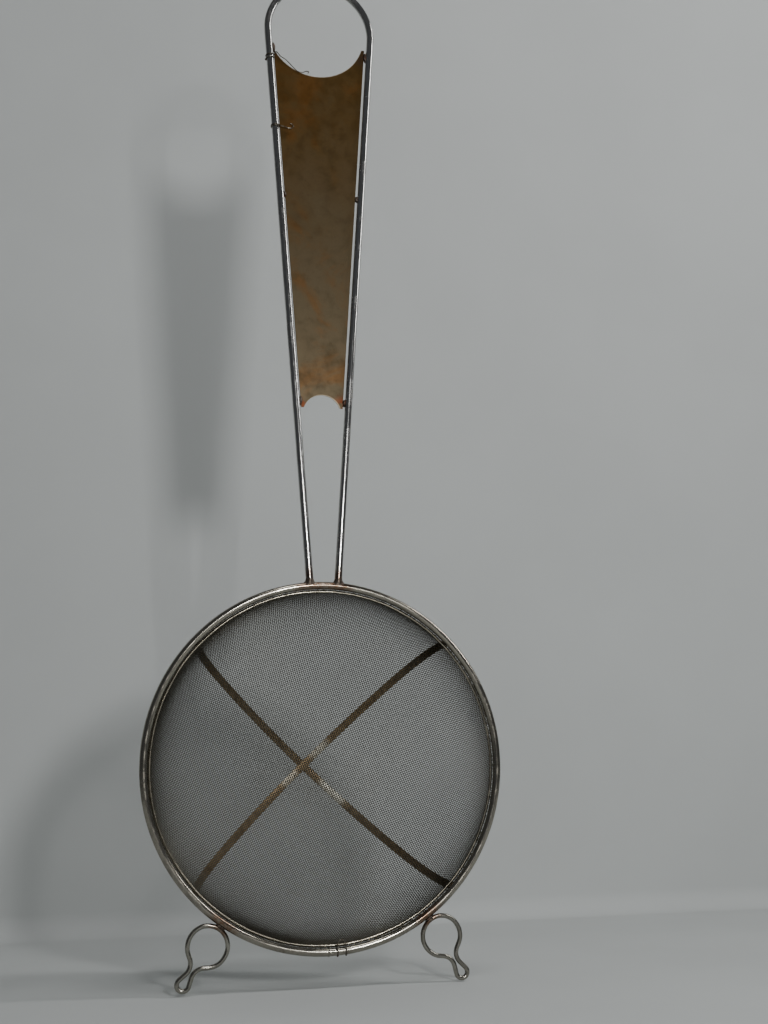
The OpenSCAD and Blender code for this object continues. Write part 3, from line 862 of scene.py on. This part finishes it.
def leg_turns(z, turns, radius, rise, start=0.0):
    """A helix of wire around the left leg."""
    steps = max(int(turns * 28), 4)
    a = start + np.linspace(0, 2 * math.pi * turns, steps)
    zz = z + rise * np.linspace(0, 1, steps)
    return np.stack([-leg_x(zz) + radius * np.cos(a), radius * np.sin(a), zz], 1)


# Tail of the upper tie wire, from the leg to its curled end: angle about the cut-out's centre in
# degrees, then the distance inside the cut-out's edge and the place along Y in millimetres
LOOP_TAIL = (
    (214, -0.5, -3.4), (221, 0.8, -3.0), (229, 3.4, -2.4),
    (238, 2.0, -2.0), (247, -0.6, -1.8), (253, 0.8, -1.6),
    (257, 4.4, -1.5), (260, 4.2, -2.6), (259.5, 1.4, -3.2),
)


def loop_tie(material):
    """Wire wound on the left leg beside the plate's upper corner; its tail follows the cut-out."""
    low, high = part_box("loop_tie_wire")
    z = low.z + 0.55 * (high.z - low.z)
    helix = leg_turns(z - 2 * MM, 1.6, ROD_R + TIE_R, 7 * MM, start=math.pi * 0.9)
    tail = []
    for angle, out, front in LOOP_TAIL:
        a = math.radians(angle)
        r = LOOP_R - ROD_R - out * MM
        tail.append((r * math.cos(a) - PLATE_CUT_SHIFT, front * MM, r * math.sin(a)))
    path = np.vstack([helix, smooth_path([helix[-1]] + tail)[1:]])
    verts, faces, _ = sweep(path, disc(TIE_R, 10))
    cut_end = lump(helix[0], (1.5 * MM, 1.5 * MM, 1.9 * MM), seed=4, rough=0.3)
    piece("loop_tie", *joined([(verts, faces), cut_end]), material, "tie_wire", "loop_tie_wire")


def handle_tie(material):
    """Wire wound on the left leg further down, with a curled end in front of the plate."""
    low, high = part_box("handle_tie_wire")
    z = low.z + 2.2 * MM
    helix = leg_turns(z, 1.9, ROD_R + TIE_R, 3.2 * MM, start=-math.pi * 1.3)
    x0 = helix[-1][0]
    end = high.x - 1.2 * MM
    tail = [
        (x0 + 6 * MM, -ROD_R - 0.2 * MM, z + 0.2 * MM),
        (x0 + 0.72 * (end - x0), -4.2 * MM, z - 1.5 * MM),
        (end - 1.5 * MM, -4.4 * MM, z - 1.2 * MM),
        (end, -4.8 * MM, z + 1.6 * MM),
        (end - 1.6 * MM, -5.0 * MM, z + 4.2 * MM),
        (end - 4.0 * MM, -4.8 * MM, z + 4.6 * MM),
    ]
    path = np.vstack([helix, smooth_path([helix[-1]] + tail)[1:]])
    verts, faces, _ = sweep(path, disc(TIE_R, 10))
    piece("handle_tie", verts, faces, material, "tie_wire", "handle_tie_wire")


def rim_tie(material):
    """A wire clip round the bottom of the rim: two turned-under legs and an arch above the rod."""
    low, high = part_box("rim_tie_wire")
    wrap = ROD_R + TIE_R
    middle = (low.x + high.x) / 2
    half = (high.x - low.x) / 2 - TIE_R
    turn = math.asin(middle / RIM_R)
    out = np.array([math.sin(turn), 0, -math.cos(turn)])
    along = np.array([math.cos(turn), 0, math.sin(turn)])
    base = np.array([0, 0, RIM_Z]) + out * RIM_R
    rise = (high.z - low.z) - 2 * wrap - half
    legs = []
    for side in (-1, 1):
        foot = base + side * half * along
        leg = [foot + wrap * (out * math.cos(a) - np.array([0, math.sin(a), 0]))
               for a in np.radians(np.linspace(-110, 90, 16))]
        leg.append(foot - out * rise * 0.6 + (0, -wrap, 0))
        legs.append(leg)
    top = [base + half * math.cos(a) * along - out * (rise + half * math.sin(a)) + (0, -wrap, 0)
           for a in np.radians(np.linspace(180, 0, 14))]
    path = np.vstack([legs[0], top, legs[1][::-1]])
    path = wobble(path, 0.25 * MM, 6 * MM, 21)
    verts, faces, _ = sweep(path, disc(TIE_R * 1.25, 10))
    piece("rim_tie", verts, faces, material, "tie_wire", "rim_tie_wire")


# ---------------------------------------------------------------- plate
def plate(material):
    """The CAD plate keeps its shape; only its sharp edges are broken."""
    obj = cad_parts["handle_plate"]
    obj.data.materials.clear()
    obj.data.materials.append(material)
    weld = obj.modifiers.new("weld", "WELD")
    weld.merge_threshold = 0.001 * MM
    bevel = obj.modifiers.new("bevel", "BEVEL")
    bevel.width = 0.25 * MM
    bevel.segments = 2
    bevel.limit_method = "ANGLE"
    bevel.angle_limit = math.radians(40)


# ---------------------------------------------------------------- stage
def plain_surface(name, color):
    """Matt paint on the front of the backdrop only; its back lets light and sight through."""
    s = Shader(name, metallic=0.0, specular=0.2)
    cloud = s.noise(3.0, 3)
    tone = s.mix(s.ramp(cloud, 0.3, 0.7), color, tuple(0.96 * c for c in color))
    side = s.tree.nodes.new("ShaderNodeNewGeometry")
    clear = s.tree.nodes.new("ShaderNodeBsdfTransparent")
    choose = s.tree.nodes.new("ShaderNodeMixShader")
    s.feed(choose.inputs[0], side.outputs["Backfacing"])
    s.feed(choose.inputs[1], s.bsdf.outputs["BSDF"])
    s.feed(choose.inputs[2], clear.outputs["BSDF"])
    s.feed(s.out.inputs["Surface"], choose.outputs["Shader"])
    return s.finish(tone, 0.85)


def backdrop(floor_z):
    """Pale floor all round the object, and a pale wall that rises from it close behind the object."""
    back, curve, wide, tall = 0.65, 0.04, 4.0, 3.0
    profile = [(back - curve, floor_z)]
    for a in np.linspace(-90, 0, 13)[1:]:
        t = math.radians(a)
        profile.append((back - curve + curve * math.cos(t), floor_z + curve + curve * math.sin(t)))
    profile.append((back, floor_z + tall))
    verts = [(side * wide, y, z) for y, z in profile for side in (-1, 1)]
    faces = [(2 * i, 2 * i + 1, 2 * i + 3, 2 * i + 2) for i in range(len(profile) - 1)]
    faces.append(tuple(range(len(verts), len(verts) + 4)))
    verts += [(x * wide, y * wide, floor_z) for x, y in ((-1, -1), (1, -1), (1, 1), (-1, 1))]
    mesh = bpy.data.meshes.new("backdrop")
    mesh.from_pydata(verts, [], faces)
    mesh.polygons.foreach_set("use_smooth", [True] * len(faces))
    mesh.materials.append(plain_surface("pale_surface", (0.58, 0.6, 0.59)))
    obj = bpy.data.objects.new("backdrop", mesh)
    bpy.context.scene.collection.objects.link(obj)


def area_light(name, place, target, size, watts):
    """A soft rectangular light that faces target."""
    data = bpy.data.lights.new(name, "AREA")
    data.shape = "RECTANGLE"
    data.size, data.size_y = size
    data.energy = watts
    obj = bpy.data.objects.new(name, data)
    obj.location = place
    obj.rotation_euler = (Vector(target) - Vector(place)).to_track_quat("-Z", "Y").to_euler()
    bpy.context.scene.collection.objects.link(obj)


def pale_room():
    """A world that looks pale where it is seen, and gives the object only a little soft light."""
    world = bpy.data.worlds.new("pale_room")
    world.use_nodes = True
    tree = world.node_tree
    dim = tree.nodes["Background"]
    dim.inputs["Color"].default_value = (0.5, 0.52, 0.55, 1)
    dim.inputs["Strength"].default_value = 0.16
    pale = tree.nodes.new("ShaderNodeBackground")
    pale.inputs["Color"].default_value = (0.305, 0.325, 0.31, 1)
    choose = tree.nodes.new("ShaderNodeMixShader")
    path = tree.nodes.new("ShaderNodeLightPath")
    tree.links.new(path.outputs["Is Camera Ray"], choose.inputs[0])
    tree.links.new(dim.outputs["Background"], choose.inputs[1])
    tree.links.new(pale.outputs["Background"], choose.inputs[2])
    tree.links.new(choose.outputs["Shader"], tree.nodes["World Output"].inputs["Surface"])
    bpy.context.scene.world = world


def stage(floor_z):
    """Backdrop, pale room and four soft lights: right, front, above the front and behind."""
    backdrop(floor_z)
    pale_room()
    aim = (0, 0, 0.62 * RIM_Z)
    area_light("side_strip", (2.2, -0.6, 0.95), (0, 0, 0), (0.3, 1.5), 24)
    area_light("front", (0.3, -2.1, -0.38), aim, (0.22, 0.3), 20)
    area_light("top", (0.2, -1.0, 1.9), aim, (1.0, 0.6), 14)
    area_light("back_top", (-0.5, 2.3, 1.3), aim, (1.4, 1.0), 40)


CAMERA_PLACE = (-0.349, -1.673, -1.003)
CAMERA_YAW = 14.4
CAMERA_PITCH = 10.85
CAMERA_ROLL = -0.98
CAMERA_LENS = 47.46


def camera():
    """Looks at the object from the photograph's side: below its middle, a little from the left."""
    data = bpy.data.cameras.new("camera")
    data.sensor_width = 36
    data.lens = CAMERA_LENS
    yaw, pitch, roll = (math.radians(a) for a in (CAMERA_YAW, CAMERA_PITCH, CAMERA_ROLL))
    forward = Vector((math.sin(yaw) * math.cos(pitch), math.cos(yaw) * math.cos(pitch), math.sin(pitch)))
    level = Vector((math.cos(yaw), -math.sin(yaw), 0))
    upright = level.cross(forward)
    right = math.cos(roll) * level + math.sin(roll) * upright
    up = math.cos(roll) * upright - math.sin(roll) * level
    turn = Matrix((right, up, -forward)).transposed()
    obj = bpy.data.objects.new("camera", data)
    obj.matrix_world = Matrix.Translation(CAMERA_PLACE) @ turn.to_4x4()
    bpy.context.scene.collection.objects.link(obj)
    bpy.context.scene.camera = obj


# ---------------------------------------------------------------- assembly
def build():
    """Makes every piece, the lights and the camera."""
    camera()
    foot, _, _ = leg_geometry()
    hook_touch = [(side * (RIM_R + ROD_R) * math.sin(math.radians(HOOK_ANGLE)), 0,
                   RIM_Z - (RIM_R + ROD_R) * math.cos(math.radians(HOOK_ANGLE))) for side in (-1, 1)]
    feet = [(side * foot[0], 0, foot[1] + 4 * MM) for side in (-1, 1)]
    rim_steel = rod_steel("rim_steel", (0.36, 0.34, 0.29), feet + hook_touch)
    handle_steel = rod_steel("handle_steel", (0.5, 0.5, 0.49), feet)
    hook_steel = rod_steel("hook_steel", (0.34, 0.33, 0.29), hook_touch, 20 * MM, (0.16, 0.34))
    hem_steel = rod_steel("hem_steel", (0.3, 0.275, 0.22), rough=(0.2, 0.35))
    tie = tie_steel()
    band = tarnished_steel()
    rim(rim_steel)
    handle(handle_steel)
    hem_hoop(hem_steel)
    woven_bowl(woven_steel())
    strap("strap_inner", -STRAP_TURN, 0.0, band, "support_strap_inner")
    strap("strap_outer", STRAP_TURN, STRAP_T, band, "support_strap_outer")
    hook("hook_wire_left", -1, hook_steel, "hook_left")
    hook("hook_wire_right", 1, hook_steel, "hook_right")
    all_welds(weld_metal(), rim_steel)
    loop_tie(tie)
    handle_tie(tie)
    rim_tie(tie)
    plate(stained_sheet())
    stage(cad_box[0].z - 1 * MM)


build()
